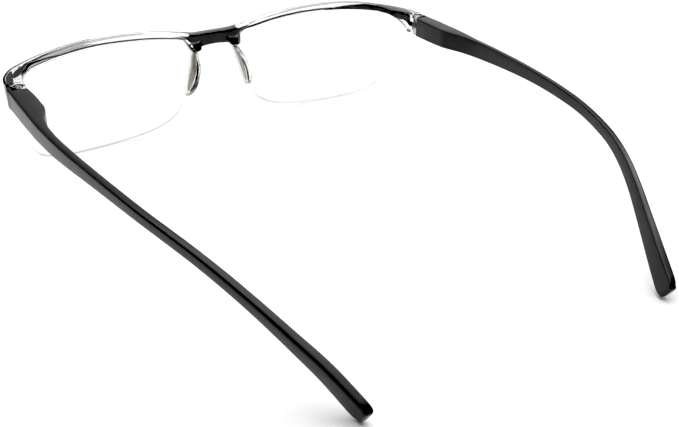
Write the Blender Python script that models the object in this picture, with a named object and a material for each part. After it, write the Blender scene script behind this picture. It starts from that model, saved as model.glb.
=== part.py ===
"""Half rim eyeglasses: a clear and black moulded front with brow bars, two rimless-bottomed lenses held by
nylon cords, slip-on nose pads and two folding temples on screwed three-knuckle hinges. Wearer's left is +X,
the front faces -Y, the temples run to +Y, and the glasses stand on the lens bottoms and the temple tips."""

import math

import bmesh
import bpy
import numpy as np
from mathutils import Matrix, Vector

MM = 0.001
CENTRE_Y = 73.98  # mm between the hinge-side datum and the middle of the whole length

# Front frame, in mm. Each station across the wearer's left half, from the nose to the hinge:
# outer x, outer y, inner x, inner y, top z, bottom z
FRONT_STATIONS = (
    (0.0, -4.4, 0.0, -1.2, 30.8, 26.7),
    (2.0, -4.4, 2.0, -1.2, 30.8, 26.6),
    (4.0, -4.4, 4.0, -1.1, 30.8, 26.4),
    (5.5, -4.4, 5.5, -1.0, 30.8, 26.3),
    (7.2, -4.3, 7.1, -0.9, 30.95, 26.3),
    (10.0, -4.2, 9.9, -1.1, 31.6, 29.0),
    (15.0, -4.0, 14.9, -0.9, 32.6, 30.2),
    (20.0, -3.7, 19.8, -0.7, 33.4, 31.0),
    (30.0, -3.0, 29.7, 0.0, 34.4, 32.0),
    (40.0, -2.1, 39.6, 0.9, 34.6, 32.2),
    (50.0, -0.9, 49.3, 2.1, 33.9, 31.5),
    (57.0, 0.2, 56.0, 3.2, 32.8, 30.5),
    (61.5, 1.1, 59.8, 4.3, 31.8, 29.7),
    (64.8, 2.6, 61.6, 6.2, 31.2, 29.1),
    (66.9, 5.4, 62.6, 8.2, 31.0, 28.4),
    (68.3, 8.6, 63.2, 10.2, 31.0, 27.5),
    (68.9, 11.4, 63.7, 12.2, 31.0, 26.4),
    (69.1, 14.6, 64.3, 14.6, 31.0, 25.0),
)
FRONT_STEPS = 48
BAR_CORNER = 0.7

# Hinge, in mm. The temple's outer cheek closes on the end of the front and stops it opening further
AXIS_X, AXIS_Y = 66.3, 16.9
KNUCKLE_R = 1.9
KNUCKLE_BOTTOM, KNUCKLE_TOP = 24.8, 30.9
KNUCKLE_ROOT_Y = 13.7
SLOT_BOTTOM, SLOT_TOP = 26.8, 28.8
SLOT_ROOT_Y = 14.8
TONGUE_R = 1.7
TONGUE_BOTTOM, TONGUE_TOP = 27.1, 28.5
CHEEK_X, BLOCK_Y = 68.5, 19.1
PIN_R, PIN_HOLE_R = 0.6, 0.85
HEAD_R, HEAD_HEIGHT = 1.0, 0.7
HEAD_HOLE_R, HEAD_HOLE_DEPTH = 1.3, 1.0
DRIVE_WIDTH, DRIVE_DEPTH = 0.3, 0.3
INSERT_R, INSERT_BORE_R = 1.1, 0.75
INSERT_BOTTOM, INSERT_TOP = 25.4, 26.7
INSERT_HOLE_R, INSERT_HOLE_BOTTOM = 1.35, 25.1
PIN_BOTTOM = 25.5

# Nasal arms and nose pads, in mm
ARM_SECTIONS = (
    (5.6, 8.1, -3.3, 0.6, 25.7),
    (5.2, 8.4, -3.5, 0.9, 26.1),
    (4.7, 8.8, -3.8, 0.3, 27.2),
    (4.1, 9.4, -4.0, -1.2, 28.8),
)
ARM_CORNER = 0.8
PAD_TOP_X, PAD_TOP_Z = 6.9, 25.4
PAD_SLOPE = 0.28
PAD_THICKNESS, PAD_EDGE = 1.9, 1.0
PAD_OUTLINE = (
    (-3.1, 25.3), (-3.3, 22.0), (-3.3, 18.0), (-3.1, 15.0), (-2.7, 12.9), (-1.8, 11.8),
    (-0.5, 11.5), (0.9, 12.0), (2.3, 13.0), (3.5, 14.3), (4.5, 16.0), (5.0, 18.2),
    (5.0, 20.3), (4.3, 22.2), (3.0, 23.7), (1.6, 24.8), (0.7, 25.3),
)
TAB_THICKNESS = 0.6
TAB_OUTLINE = (
    (-0.3, 0.6, 13.4), (-0.8, 1.4, 14.0), (-1.1, 2.3, 15.5), (-1.2, 3.0, 17.5),
    (-1.3, 3.2, 19.5), (-1.6, 2.7, 21.5), (-2.0, 1.3, 23.6), (-2.2, 0.0, 25.0),
)  # front y, back y, z
TAB_GAP = 0.2

# Lenses, in mm. Outline of the wearer's left lens as x, z
LENS_OUTLINE = (
    (9.5, 28.4), (9.6, 26.0), (10.0, 23.5), (10.7, 20.0), (11.2, 16.0), (11.7, 12.5),
    (12.3, 9.6), (13.6, 7.1), (15.9, 5.1), (19.2, 3.3), (23.2, 2.0), (28.0, 1.0),
    (34.0, 0.35), (41.0, 0.005), (48.0, 0.2), (54.0, 0.9), (58.2, 2.1), (60.4, 3.6),
    (61.8, 6.0), (62.6, 9.2), (63.2, 14.0), (63.6, 20.0), (63.3, 25.0), (62.6, 28.2),
    (61.0, 30.1), (57.5, 31.1), (51.0, 32.3), (44.5, 33.0), (38.0, 33.2), (31.0, 33.0),
    (24.0, 32.3), (17.0, 31.2), (12.0, 30.2),
)
LENS_POINTS = 84
LENS_THICKNESS, LENS_CHAMFER = 1.6, 0.2
LENS_GROOVE_WIDTH, LENS_GROOVE_DEPTH = 0.7, 0.6
LENS_GAP = 0.3
LENS_MIDDLE, LENS_REACH = (37.0, 16.0), (25.0, 16.0)
CORD_R = 0.25
CORD_TOP_Z = 29.6
CORD_SIDES = 8

# Temples, in mm. Stations from the hinge to the tip: y, outer x, inner x, centre z, height
TEMPLE_STATIONS = (
    (14.9, 69.2, 64.3, 27.5, 6.2),
    (15.5, 69.4, 64.3, 27.5, 6.2),
    (19.5, 69.5, 64.3, 27.5, 6.2),
    (24.0, 69.6, 64.1, 27.5, 6.1),
    (30.0, 69.7, 64.1, 27.4, 5.9),
    (34.0, 69.7, 64.3, 27.4, 5.8),
    (37.0, 69.7, 65.2, 27.3, 5.7),
    (40.0, 69.7, 66.2, 27.2, 5.6),
    (44.0, 69.6, 66.9, 27.1, 5.4),
    (52.0, 69.3, 67.1, 27.1, 5.0),
    (62.0, 68.6, 66.5, 27.2, 4.4),
    (74.0, 67.3, 65.3, 27.2, 3.8),
    (86.0, 65.7, 63.7, 26.8, 3.4),
    (97.0, 63.8, 61.8, 26.0, 3.2),
    (106.0, 61.6, 59.6, 24.8, 3.2),
    (114.0, 59.2, 57.2, 23.1, 3.3),
    (121.0, 56.6, 54.5, 20.6, 3.5),
    (128.0, 53.5, 51.3, 17.1, 3.8),
    (135.0, 50.2, 47.8, 12.9, 4.3),
    (142.0, 46.9, 44.3, 8.5, 5.0),
    (150.2, 43.4, 40.8, 2.59, 6.0),
)
TEMPLE_STEPS = 70
TIP_ROUNDING = 0.9


def interpolate(table, steps):
    """Rows between the stations of a table, spaced evenly along it on a smooth curve through every station."""
    rows = np.array(table, float)
    knots = np.zeros(len(rows))
    knots[1:] = np.cumsum(np.maximum(np.linalg.norm(np.diff(rows[:, :3], axis=0), axis=1), 1e-6))
    slopes = np.gradient(rows, knots, axis=0)
    result = []
    for t in np.linspace(0.0, knots[-1], steps + 1):
        i = min(int(np.searchsorted(knots, t, side="right")) - 1, len(rows) - 2)
        span = knots[i + 1] - knots[i]
        u = (t - knots[i]) / span
        result.append(
            (2 * u**3 - 3 * u**2 + 1) * rows[i]
            + (u**3 - 2 * u**2 + u) * span * slopes[i]
            + (3 * u**2 - 2 * u**3) * rows[i + 1]
            + (u**3 - u**2) * span * slopes[i + 1]
        )
    return result


def closed_curve(points, count):
    """Evenly spaced points on a smooth closed curve through the given ones."""
    p = np.array(points, float)
    n = len(p)
    fine = []
    for i in range(n):
        a, b, c, d = p[i - 1], p[i], p[(i + 1) % n], p[(i + 2) % n]
        for u in np.linspace(0.0, 1.0, 16, endpoint=False):
            fine.append(
                0.5 * (2 * b + (c - a) * u + (2 * a - 5 * b + 4 * c - d) * u**2 + (3 * b - a - 3 * c + d) * u**3)
            )
    fine = np.array(fine + [fine[0]])
    along = np.concatenate([[0.0], np.cumsum(np.linalg.norm(np.diff(fine, axis=0), axis=1))])
    marks = np.linspace(0.0, along[-1], count, endpoint=False)
    return np.column_stack([np.interp(marks, along, fine[:, k]) for k in range(2)])


def offset_curve(points, distance):
    """A closed curve moved outward by a distance along its own normals."""
    tangent = np.roll(points, -1, axis=0) - np.roll(points, 1, axis=0)
    normal = np.column_stack([-tangent[:, 1], tangent[:, 0]])
    normal /= np.linalg.norm(normal, axis=1, keepdims=True)
    middle = points.mean(axis=0)
    if ((points - middle) * normal).sum() < 0:
        normal = -normal
    return points + distance * normal


def at(x, y, z):
    """A point given in the design's millimetres, as metres in the part's frame."""
    return Vector((x * MM, (y - CENTRE_Y) * MM, z * MM))


def add_object(name, bm, material=None):
    """A mesh object from a bmesh, with outward normals and smooth faces."""
    bmesh.ops.recalc_face_normals(bm, faces=bm.faces)
    mesh = bpy.data.meshes.new(name)
    bm.to_mesh(mesh)
    bm.free()
    ob = bpy.data.objects.new(name, mesh)
    bpy.context.scene.collection.objects.link(ob)
    mesh.shade_smooth()
    mesh.set_sharp_from_angle(angle=math.radians(32))
    if material:
        mesh.materials.append(material)
    return ob


def loft(name, rings, material=None, closed=False):
    """A skin over rings of points with equal counts, capped at both ends unless the rings close on themselves."""
    bm = bmesh.new()
    verts = [[bm.verts.new(p) for p in ring] for ring in rings]
    count = len(verts[0])
    pairs = list(zip(verts, verts[1:]))
    if closed:
        pairs.append((verts[-1], verts[0]))
    for a, b in pairs:
        for i in range(count):
            j = (i + 1) % count
            bm.faces.new((a[i], a[j], b[j], b[i]))
    if not closed:
        bm.faces.new(verts[0])
        bm.faces.new(verts[-1])
    return add_object(name, bm, material)


def cylinder(name, x, y, radius, z0, z1, segments=32, material=None):
    """An upright cylinder given in millimetres."""
    ring = [
        (x + radius * math.cos(a), y + radius * math.sin(a))
        for a in np.linspace(0.0, 2 * math.pi, segments, endpoint=False)
    ]
    return loft(name, [[at(px, py, z) for px, py in ring] for z in (z0, z1)], material)


def block(name, xs, ys, zs, material=None):
    """A box given by its limits in millimetres."""
    ring = [(xs[0], ys[0]), (xs[1], ys[0]), (xs[1], ys[1]), (xs[0], ys[1])]
    return loft(name, [[at(px, py, z) for px, py in ring] for z in zs], material)


def combine(ob, other, operation):
    """Adds an exact Boolean of another object, which is kept out of the part itself."""
    other.hide_render = True
    other.display_type = "WIRE"
    modifier = ob.modifiers.new(f"{operation.lower()} {other.name}", "BOOLEAN")
    modifier.operation = operation
    modifier.solver = "EXACT"
    modifier.object = other


def move_origin(ob, x, y, z):
    """Puts the object's origin on a point given in millimetres, leaving its surface in place."""
    point = at(x, y, z)
    ob.data.transform(Matrix.Translation(-point))
    ob.location = point


def make_material(name, colour, roughness, metallic=0.0, alpha=1.0, transmission=0.0, ior=1.5):
    """A plain Principled material."""
    material = bpy.data.materials.new(name)
    material.use_nodes = True
    shader = material.node_tree.nodes["Principled BSDF"]
    shader.inputs["Base Color"].default_value = (*colour, 1.0)
    shader.inputs["Roughness"].default_value = roughness
    shader.inputs["Metallic"].default_value = metallic
    shader.inputs["Alpha"].default_value = alpha
    shader.inputs["Transmission Weight"].default_value = transmission
    shader.inputs["IOR"].default_value = ior
    return material


def rounded_section(outer, inner, top, bottom, corner, per_corner=3):
    """A ring round an upright rectangle whose ends are two plan points, with rounded corners."""
    outer, inner = Vector(outer), Vector(inner)
    width = (inner - outer).length
    r = min(corner, 0.45 * width, 0.45 * (top - bottom))
    across = (inner - outer) / width
    ring = []
    for cu, cv, start in ((r, bottom + r, 180), (width - r, bottom + r, 270), (width - r, top - r, 0), (r, top - r, 90)):
        for k in range(per_corner):
            a = math.radians(start + 90 * k / (per_corner - 1))
            u, z = cu + r * math.cos(a), cv + r * math.sin(a)
            p = outer + across * u
            ring.append((p.x, p.y, z))
    return ring


def front_beam():
    """Left half of the bridge, brow bar and corner that turns back to the hinge, running just past the middle."""
    rings = []
    for ox, oy, ix, iy, top, bottom in interpolate(FRONT_STATIONS, FRONT_STEPS):
        rings.append(rounded_section((ox, oy), (ix, iy), top, bottom, BAR_CORNER))
    past_middle = [(-x, y, z) for x, y, z in rings[1]]
    return loft("front_frame", [[at(*p) for p in ring] for ring in [past_middle, *rings]])


def knuckle_blank():
    """The end of the front that carries the two knuckles, before the slot and holes."""
    arc = [
        (AXIS_X + KNUCKLE_R * math.cos(a), AXIS_Y + KNUCKLE_R * math.sin(a))
        for a in np.linspace(0.0, math.pi, 17)
    ]
    plan = [(AXIS_X + KNUCKLE_R, KNUCKLE_ROOT_Y), *arc, (AXIS_X - KNUCKLE_R, KNUCKLE_ROOT_Y)]
    rings = [[at(x, y, z) for x, y in plan] for z in (KNUCKLE_BOTTOM, KNUCKLE_TOP)]
    return loft("knuckle blank", rings)


def pad_x(z):
    """Distance of the nose pad's middle plane from the centre line at a height, in millimetres."""
    return PAD_TOP_X + PAD_SLOPE * (PAD_TOP_Z - z)


def sloped_tab(name, side, grow, top):
    """The flat leaf-shaped tab that a nose pad is stretched over, or with some growth the slot for it."""
    half = TAB_THICKNESS / 2 + grow
    rows = [(y0, y1, z - grow if z == TAB_OUTLINE[0][2] else z) for y0, y1, z in TAB_OUTLINE]
    rows.append((*TAB_OUTLINE[-1][:2], top))
    rings = []
    for y0, y1, z in rows:
        x = pad_x(z)
        front, back = y0 - grow, y1 + grow
        plan = [(x - half, front), (x + half, front), (x + half, back), (x - half, back)]
        rings.append([at(side * px, py, z) for px, py in plan])
    return loft(name, rings)


def nasal_arm():
    """The short flared arm from the bridge down to a nose pad."""
    rings = []
    for x0, x1, y0, y1, z in ARM_SECTIONS:
        ring = rounded_plan(x0, x1, y0, y1, ARM_CORNER)
        rings.append([at(x, y, z) for x, y in ring])
    return loft("nasal arm", rings)


def rounded_plan(x0, x1, y0, y1, r, per_corner=4):
    """A rounded rectangle seen from above."""
    ring = []
    for cx, cy, start in ((x1 - r, y1 - r, 0), (x0 + r, y1 - r, 90), (x0 + r, y0 + r, 180), (x1 - r, y0 + r, 270)):
        for k in range(per_corner):
            a = math.radians(start + 90 * k / (per_corner - 1))
            ring.append((cx + r * math.cos(a), cy + r * math.sin(a)))
    return ring


def lens_y(x, z):
    """Depth of a lens's middle surface: dished, wrapped round the face and set back low down by the nose."""
    u = (abs(x) - LENS_MIDDLE[0]) / LENS_REACH[0]
    v = (z - LENS_MIDDLE[1]) / LENS_REACH[1]
    return -1.8 + 1.66 * u + 0.2 * v + 1.04 * u * v + 2.13 * u**2 + 0.57 * v**2 - u**2 * v


def lens_rings(side, grow=0.0, grooved=True):
    """Rings over the front face, round the edge and over the back face of a lens."""
    outline = closed_curve(LENS_OUTLINE, LENS_POINTS)
    edge = offset_curve(outline, grow)
    groove = offset_curve(outline, -LENS_GROOVE_DEPTH)
    middle = outline.mean(axis=0)
    half = LENS_THICKNESS / 2 + grow
    half_groove = LENS_GROOVE_WIDTH / 2
    rounded = offset_curve(edge, -LENS_CHAMFER)
    inner = [middle + (edge - middle) * s for s in (0.12, 0.4, 0.68, 0.9)]
    layers = [(ring, -half) for ring in inner] + [(rounded, -half), (edge, -half + LENS_CHAMFER)]
    if grooved:
        layers += [(edge, -half_groove), (groove, -half_groove), (groove, half_groove), (edge, half_groove)]
    layers += [(edge, half - LENS_CHAMFER), (rounded, half)] + [(ring, half) for ring in reversed(inner)]
    return [[at(side * x, lens_y(x, z) + dy, z) for x, z in ring] for ring, dy in layers]


def make_front(material):
    """The front frame: one moulding, shaped on the wearer's left and mirrored."""
    front = front_beam()
    front.data.materials.append(material)
    combine(front, knuckle_blank(), "UNION")
    combine(front, nasal_arm(), "UNION")
    combine(front, sloped_tab("pad tab", 1, 0.0, ARM_SECTIONS[-1][-1] - 1.5), "UNION")
    combine(front, loft("lens seat", lens_rings(1, LENS_GAP, grooved=False)), "DIFFERENCE")
    combine(front, block("tongue slot", (60.0, 74.0), (SLOT_ROOT_Y, 24.0), (SLOT_BOTTOM, SLOT_TOP)), "DIFFERENCE")
    for label, radius, z0, z1 in (
        ("pin hole", PIN_HOLE_R, SLOT_TOP - 0.5, KNUCKLE_TOP + 1.0),
        ("head hole", HEAD_HOLE_R, KNUCKLE_TOP - HEAD_HOLE_DEPTH, KNUCKLE_TOP + 1.5),
        ("insert hole", INSERT_HOLE_R, INSERT_HOLE_BOTTOM, SLOT_BOTTOM + 0.5),
    ):
        combine(front, cylinder(label, AXIS_X, AXIS_Y, radius, z0, z1), "DIFFERENCE")
    mirror = front.modifiers.new("mirror", "MIRROR")
    mirror.use_axis = (True, False, False)
    mirror.use_bisect_axis = (True, False, False)
    mirror.merge_threshold = 0.00002
    return front


def make_lens(side, name, material):
    """One lens with the cord groove round its edge."""
    return loft(name, lens_rings(side), material)


def make_cord(side, name, material):
    """The nylon cord in the groove, from the bar by the nose, under the lens, to the bar by the temple."""
    outline = closed_curve(LENS_OUTLINE, LENS_POINTS)
    path = offset_curve(outline, -CORD_R - 0.02)
    low = [i for i in range(len(path)) if path[i][1] < CORD_TOP_Z]
    path = path[low[0]:low[-1] + 1]
    rings = []
    for i, (x, z) in enumerate(path):
        ahead = path[min(i + 1, len(path) - 1)] - path[max(i - 1, 0)]
        ahead = ahead / np.linalg.norm(ahead)
        across = np.array([-ahead[1], ahead[0]])
        ring = []
        for a in np.linspace(0.0, 2 * math.pi, CORD_SIDES, endpoint=False):
            dx, dz = CORD_R * math.cos(a) * across
            ring.append(at(side * (x + dx), lens_y(x, z) + CORD_R * math.sin(a), z + dz))
        rings.append(ring)
    return loft(name, rings, material)


def make_pad(side, name, material):
    """A soft pad: a D-shaped fin, thicker in the middle, with a slot from above for the frame's tab."""
    outline = closed_curve(PAD_OUTLINE, 48)
    middle = np.array([0.4, 18.6])
    layers = []
    for scale, depth in ((0.3, 1.0), (0.62, 0.92), (0.85, 0.75), (0.96, 0.5)):
        layers.append((scale, depth * PAD_THICKNESS / 2))
    layers.append((1.0, 0.25 * PAD_EDGE))
    stack = [(s, -d) for s, d in layers] + [(s, d) for s, d in reversed(layers)]
    lean = math.hypot(1.0, PAD_SLOPE)
    rings = []
    for scale, depth in stack:
        ring = []
        for y, z in middle + (outline - middle) * scale:
            x = pad_x(z) + depth / lean
            ring.append(at(side * x, y, z + depth * PAD_SLOPE / lean))
        rings.append(ring)
    pad = loft(name, rings, material)
    slot = sloped_tab(f"{name} slot", side, TAB_GAP, ARM_SECTIONS[-1][-1])
    combine(pad, slot, "DIFFERENCE")
    return pad


def temple_rings(side):
    """Rings of a temple from the hinge face to the rounded tip, square to its own line."""
    rows = np.array(interpolate(TEMPLE_STATIONS, TEMPLE_STEPS))
    slope = np.gradient(rows[:, 3]) / np.gradient(rows[:, 0])
    slope[0] = 0.0
    rings = []
    for (y, xo, xi, zc, height), dz in zip(rows, slope):
        rings.append(temple_ring(side, y, xo, xi, zc, height, dz, 0.0))
    y, xo, xi, zc, height = rows[-1]
    for advance, shrink in ((0.5, 0.25), (0.85, 0.6), (1.0, 1.0)):
        s = TIP_ROUNDING * advance / math.hypot(1.0, slope[-1])
        rings.append(temple_ring(side, y + s, xo, xi, zc + s * slope[-1], height, slope[-1], 0.6 * shrink))
    return rings


def temple_ring(side, y, xo, xi, zc, height, slope, shrink):
    """One rounded section of a temple, with a larger chamfer along its outer top edge."""
    length = math.hypot(1.0, slope)
    up_y, up_z = -slope / length, 1.0 / length
    width, tall = xo - xi - 2 * shrink, height - 2 * shrink
    small = min(0.45, 0.3 * width)
    large = min(1.0, 0.42 * width)
    x0, h = xi + shrink, tall / 2
    ring = []
    for cx, cz, r, start in (
        (x0 + width - large, h - large, large, 0),
        (x0 + small, h - small, small, 90),
        (x0 + small, small - h, small, 180),
        (x0 + width - large, large - h, large, 270),
    ):
        for k in range(4):
            a = math.radians(start + 30 * k)
            x, v = cx + r * math.cos(a), cz + r * math.sin(a)
            ring.append(at(side * x, y + v * up_y, zc + v * up_z))
    return ring


def make_temple(side, name, material):
    """One temple with the tongue that turns between the front's knuckles. Its origin is on the hinge axis."""
    temple = loft(name, temple_rings(side), material)
    xs = sorted((side * 60.0, side * CHEEK_X))
    combine(temple, block(f"{name} rebate", xs, (10.0, BLOCK_Y), (20.0, 36.0)), "DIFFERENCE")
    arc = [
        (AXIS_X + TONGUE_R * math.cos(a), AXIS_Y + TONGUE_R * math.sin(a))
        for a in np.linspace(-math.pi, 0.0, 17)
    ]
    plan = [*arc, (AXIS_X + TONGUE_R, 22.0), (AXIS_X - TONGUE_R, 22.0)]
    rings = [[at(side * x, y, z) for x, y in plan] for z in (TONGUE_BOTTOM, TONGUE_TOP)]
    combine(temple, loft(f"{name} tongue", rings), "UNION")
    hole = cylinder(f"{name} hole", side * AXIS_X, AXIS_Y, PIN_HOLE_R, TONGUE_BOTTOM - 1, TONGUE_TOP + 1)
    combine(temple, hole, "DIFFERENCE")
    move_origin(temple, side * AXIS_X, AXIS_Y, (TONGUE_BOTTOM + TONGUE_TOP) / 2)
    return temple


def make_screw(side, name, material):
    """A hinge screw: slotted flat head and plain shank."""
    head_bottom = KNUCKLE_TOP - HEAD_HOLE_DEPTH + 0.15
    head_top = head_bottom + HEAD_HEIGHT
    profile = (
        (PIN_R - 0.15, PIN_BOTTOM),
        (PIN_R, PIN_BOTTOM + 0.15),
        (PIN_R, head_bottom),
        (HEAD_R, head_bottom),
        (HEAD_R, head_top - 0.15),
        (HEAD_R - 0.15, head_top),
    )
    rings = []
    for radius, z in profile:
        ring = []
        for a in np.linspace(0.0, 2 * math.pi, 32, endpoint=False):
            ring.append(at(side * AXIS_X + radius * math.cos(a), AXIS_Y + radius * math.sin(a), z))
        rings.append(ring)
    screw = loft(name, rings, material)
    x = side * AXIS_X
    half = DRIVE_WIDTH / 2
    drive = block(f"{name} drive", (x - 2.0, x + 2.0), (AXIS_Y - half, AXIS_Y + half), (head_top - DRIVE_DEPTH, 33.0))
    combine(screw, drive, "DIFFERENCE")
    return screw


def make_insert(side, name, material):
    """The nickel plated thread insert in the lower knuckle."""
    rings = []
    for radius, z in (
        (INSERT_R, INSERT_BOTTOM),
        (INSERT_R, INSERT_TOP),
        (INSERT_BORE_R, INSERT_TOP),
        (INSERT_BORE_R, INSERT_BOTTOM),
    ):
        ring = []
        for a in np.linspace(0.0, 2 * math.pi, 32, endpoint=False):
            ring.append(at(side * AXIS_X + radius * math.cos(a), AXIS_Y + radius * math.sin(a), z))
        rings.append(ring)
    return loft(name, rings, material, closed=True)


def main():
    for ob in list(bpy.data.objects):
        bpy.data.objects.remove(ob, do_unlink=True)
    clear = make_material("clear_plastic", (0.72, 0.70, 0.69), 0.12, alpha=0.55)
    glass = make_material("lens_clear", (0.92, 0.95, 0.96), 0.03, alpha=0.2)
    nylon = make_material("nylon_clear", (0.86, 0.87, 0.87), 0.25, alpha=0.6)
    silicone = make_material("silicone_clear", (0.84, 0.83, 0.80), 0.35, alpha=0.6)
    black = make_material("temple_black", (0.022, 0.021, 0.023), 0.42)
    steel = make_material("screw_steel", (0.62, 0.61, 0.60), 0.3, metallic=1.0)
    nickel = make_material("insert_nickel", (0.62, 0.6, 0.56), 0.35, metallic=1.0)
    make_front(clear)
    for side, word in ((1, "left"), (-1, "right")):
        make_lens(side, f"lens_{word}", glass)
        make_cord(side, f"lens_cord_{word}", nylon)
        make_pad(side, f"nose_pad_{word}", silicone)
        make_temple(side, f"temple_{word}", black)
        make_screw(side, f"hinge_screw_{word}", steel)
        make_insert(side, f"hinge_insert_{word}", nickel)


main()
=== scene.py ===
"""Looks of the half rim eyeglasses: the clear moulded front with its black core, clear lenses, silicone nose
pads and satin black temples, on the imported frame. Dimensions are the CAD's, in millimetres, as in part.py,
with finer steps and roundings. Left and right are the wearer's: left is +X, and the front faces -Y."""

import math

import bmesh
import bpy
import numpy as np
from mathutils import Matrix, Vector


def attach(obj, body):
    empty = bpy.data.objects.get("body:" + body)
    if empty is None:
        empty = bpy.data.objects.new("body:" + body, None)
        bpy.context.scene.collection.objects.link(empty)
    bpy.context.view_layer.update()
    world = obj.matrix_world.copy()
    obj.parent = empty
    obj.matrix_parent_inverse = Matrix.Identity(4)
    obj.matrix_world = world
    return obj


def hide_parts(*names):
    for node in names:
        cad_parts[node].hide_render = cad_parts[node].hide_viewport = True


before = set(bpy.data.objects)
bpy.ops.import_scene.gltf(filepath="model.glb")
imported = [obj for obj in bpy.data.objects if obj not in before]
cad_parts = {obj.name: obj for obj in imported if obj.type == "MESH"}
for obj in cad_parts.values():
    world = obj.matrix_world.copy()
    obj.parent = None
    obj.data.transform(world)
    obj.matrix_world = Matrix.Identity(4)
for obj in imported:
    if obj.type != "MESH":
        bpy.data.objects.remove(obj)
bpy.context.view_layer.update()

MM = 0.001
CENTRE_Y = 73.98  # mm between the design's datum and the frame's origin

# Camera, from the photograph's own geometry: azimuth and elevation in degrees, place in design mm
CAMERA_PLACE = (121.9, 267.16, 120.64)
CAMERA_AZIMUTH, CAMERA_ELEVATION, CAMERA_ROLL = 147.64, 27.8, 0.56
CAMERA_LENS, CAMERA_SENSOR = 50.37, 36.0
CAMERA_SHIFT = (-0.0018, -0.0022)

# Studio, in metres. Greys of the dim room by the sine of the elevation, to the sides and ahead of the glasses
ROOM_SIDES = ((0.0, 0.03), (0.3, 0.04), (0.6, 0.15), (0.85, 0.9), (1.0, 1.0))
ROOM_FRONT = ((0.0, 0.05), (0.1, 0.1), (0.25, 0.3), (0.5, 0.45), (1.0, 1.0))
ROOM_AHEAD = (0.1, -0.8)  # Y of a direction where the greys of the sides end and those ahead are reached
SOFT_BOXES = (  # name, place, width and depth, watts
    ("soft box above", (0.0, -0.1, 0.9), (1.3, 1.1), 7.7),
    ("low card ahead", (-1.1, -1.7, 0.62), (1.3, 0.8), 2.4),
    ("side card", (-1.3, 0.0, 1.25), (0.6, 0.6), 6.0),
)
FLOOR_REACH, FLOOR_FADE = 0.8, (0.34, 0.75)  # half width of the floor and where it thins out, in metres
GRADE = (0.03, 0.88)  # scene values that print as black and as white

SMOOTH_ANGLE = 32.0  # degrees between faces up to which their edge looks smooth
ROUND_MOST = 0.45  # radius of a corner at most, as a share of its section's width and height
MIRROR_MERGE = 0.00002  # metres between points that a mirrored piece joins on the middle plane

# Front. Each station across the wearer's left half: outer x, outer y, inner x, inner y, top z, bottom z
FRONT_STATIONS = (
    (0.0, -4.4, 0.0, -1.2, 30.8, 26.7),
    (2.0, -4.4, 2.0, -1.2, 30.8, 26.6),
    (4.0, -4.4, 4.0, -1.1, 30.8, 26.4),
    (5.5, -4.4, 5.5, -1.0, 30.8, 26.3),
    (7.2, -4.3, 7.1, -0.9, 30.95, 26.3),
    (10.0, -4.2, 9.9, -1.1, 31.6, 29.0),
    (15.0, -4.0, 14.9, -0.9, 32.6, 30.2),
    (20.0, -3.7, 19.8, -0.7, 33.4, 31.0),
    (30.0, -3.0, 29.7, 0.0, 34.4, 32.0),
    (40.0, -2.1, 39.6, 0.9, 34.6, 32.2),
    (50.0, -0.9, 49.3, 2.1, 33.9, 31.5),
    (57.0, 0.2, 56.0, 3.2, 32.8, 30.5),
    (61.5, 1.1, 59.8, 4.3, 31.8, 29.7),
    (64.8, 2.6, 61.6, 6.2, 31.2, 29.1),
    (66.9, 5.4, 62.6, 8.2, 31.0, 28.4),
    (68.3, 8.6, 63.2, 10.2, 31.0, 27.5),
    (68.9, 11.4, 63.7, 12.2, 31.0, 26.4),
    (69.1, 14.6, 64.3, 14.6, 31.0, 25.0),
)
FRONT_STEPS = 120
BAR_CORNER = 0.7

# Colour let into the clear front: black paint, with painted refraction and painted shade in some stretches.
# Each row: station number, front and back limits across the depth, low and high limits up the height, the
# last four as shares of the front's own section there. First the black bridge
BRIDGE_CORE = (
    (0.0, 0.0, 1.0, 0.0, 1.0),
    (3.7, 0.0, 1.0, 0.0, 1.0),
    (3.9, 0.05, 1.0, 0.03, 0.99),
    (4.1, 0.3, 1.0, 0.2, 0.95),
    (4.35, 0.5, 1.0, 0.3, 0.85),
    (4.7, 0.6, 1.0, 0.36, 0.7),
    (5.1, 0.7, 1.0, 0.42, 0.6),
    (5.4, 0.8, 0.97, 0.46, 0.52),
)
# The black paint's wedge in the left corner, drawn to the shape it takes through the clear plastic in one
# view, so painted refraction is part of it
LEFT_CORE_WITH_PAINTED_REFRACTION = (
    (11.6, 0.7, 0.95, 0.72, 0.9),
    (12.1, 0.6, 0.97, 0.66, 0.98),
    (12.6, 0.52, 0.97, 0.5, 1.0),
    (13.2, 0.46, 0.95, 0.4, 1.0),
    (14.0, 0.45, 0.85, 0.4, 1.0),
    (14.7, 0.46, 0.75, 0.5, 1.0),
    (15.2, 0.48, 0.6, 0.7, 1.0),
)
# The dark edge along the outside of the left corner, black drawn to how it shows through the clear plastic in
# one view, so partly painted refraction
LEFT_EDGING_WITH_PAINTED_REFRACTION = (
    (9.0, 0.0, 0.06, 0.9, 0.98),
    (10.0, 0.0, 0.11, 0.82, 1.0),
    (11.0, 0.0, 0.15, 0.76, 1.0),
    (12.0, 0.0, 0.18, 0.7, 1.0),
    (13.5, 0.0, 0.16, 0.68, 1.0),
    (15.0, 0.0, 0.15, 0.7, 1.0),
    (16.5, 0.0, 0.12, 0.8, 1.0),
)
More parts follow.
